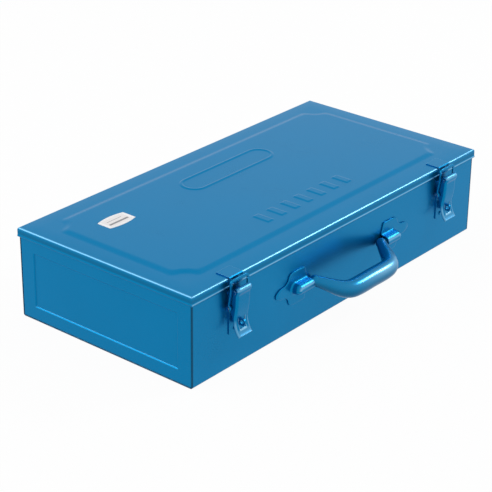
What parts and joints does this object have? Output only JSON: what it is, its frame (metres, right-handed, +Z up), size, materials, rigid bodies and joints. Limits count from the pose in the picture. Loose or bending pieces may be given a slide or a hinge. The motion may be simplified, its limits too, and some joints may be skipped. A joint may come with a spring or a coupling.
{
  "type": "tool box",
  "caption": "Flat blue enamelled steel tool box with a hinged pressed lid, draw latches with padlock staples, a swinging carry handle and a sliding tray inside.",
  "frame": {"origin": "centre of the underside of the box", "axes": "+X along the length to the right-hand end, -Y out of the front face with the latches, +Z up"},
  "size_m": [0.4128, 0.245, 0.0883],
  "materials": {
    "blue_enamel": "satin metallic blue enamel",
    "tray_enamel": "satin blue enamel",
    "bare_steel": "dull zinc plate",
    "label_paper": "satin"
  },
  "bodies": {
    "box": {"body_shell": "blue_enamel", "left_end_panel": "blue_enamel", "right_end_panel": "blue_enamel", "front_tray_ledge": "blue_enamel", "rear_tray_ledge": "blue_enamel", "left_hinge_body_leaf": "blue_enamel", "left_hinge_pin": "bare_steel", "left_handle_bracket": "blue_enamel", "left_latch_base": "blue_enamel", "left_padlock_staple": "blue_enamel", "left_latch_rivets": "bare_steel", "left_lever_pin": "bare_steel", "right_hinge_body_leaf": "blue_enamel", "right_hinge_pin": "bare_steel", "right_handle_bracket": "blue_enamel", "right_latch_base": "blue_enamel", "right_padlock_staple": "blue_enamel", "right_latch_rivets": "bare_steel", "right_lever_pin": "bare_steel"},
    "lid": {"lid_panel": "blue_enamel", "label_blank": "label_paper", "left_hinge_lid_leaf": "blue_enamel", "right_hinge_lid_leaf": "blue_enamel", "left_keeper": "blue_enamel", "right_keeper": "blue_enamel"},
    "left_lever_arm": {"left_lever": "blue_enamel", "left_link_pin": "bare_steel"},
    "left_link_frame": {"left_link": "blue_enamel"},
    "right_lever_arm": {"right_lever": "blue_enamel", "right_link_pin": "bare_steel"},
    "right_link_frame": {"right_link": "blue_enamel"},
    "handle": {"carry_handle": "blue_enamel"},
    "tray": {"tray_pan": "tray_enamel", "tray_long_divider": "tray_enamel", "tray_front_divider": "tray_enamel", "tray_rear_divider": "tray_enamel"}
  },
  "joints": [
    {"name": "lid_hinge", "type": "hinge", "parent": "box", "child": "lid", "pos_m": [0, 0.104, 0.077], "axis": [-1, 0, 0], "range_deg": [0, 180]},
    {"name": "left_lever_hinge", "type": "hinge", "parent": "box", "child": "left_lever_arm", "pos_m": [-0.152, -0.1069, 0.0745], "axis": [-1, 0, 0], "range_deg": [0, 135]},
    {"name": "left_link_hinge", "type": "hinge", "parent": "left_lever_arm", "child": "left_link_frame", "pos_m": [-0.152, -0.1032, 0.06], "axis": [-1, 0, 0], "range_deg": [-135, 0]},
    {"name": "right_lever_hinge", "type": "hinge", "parent": "box", "child": "right_lever_arm", "pos_m": [0.152, -0.1069, 0.0745], "axis": [-1, 0, 0], "range_deg": [0, 135]},
    {"name": "right_link_hinge", "type": "hinge", "parent": "right_lever_arm", "child": "right_link_frame", "pos_m": [0.152, -0.1032, 0.06], "axis": [-1, 0, 0], "range_deg": [-135, 0]},
    {"name": "handle_pivot", "type": "hinge", "parent": "box", "child": "handle", "pos_m": [0, -0.1052, 0.043], "axis": [-1, 0, 0], "range_deg": [-63, 101]},
    {"name": "tray_slide", "type": "slide", "parent": "box", "child": "tray", "axis": [1, 0, 0], "range_m": [0, 0.176]}
  ],
  "couplings": [
    {"joint": "left_link_hinge", "follows": "left_lever_hinge", "ratio": -1},
    {"joint": "right_link_hinge", "follows": "right_lever_hinge", "ratio": -1}
  ]
}
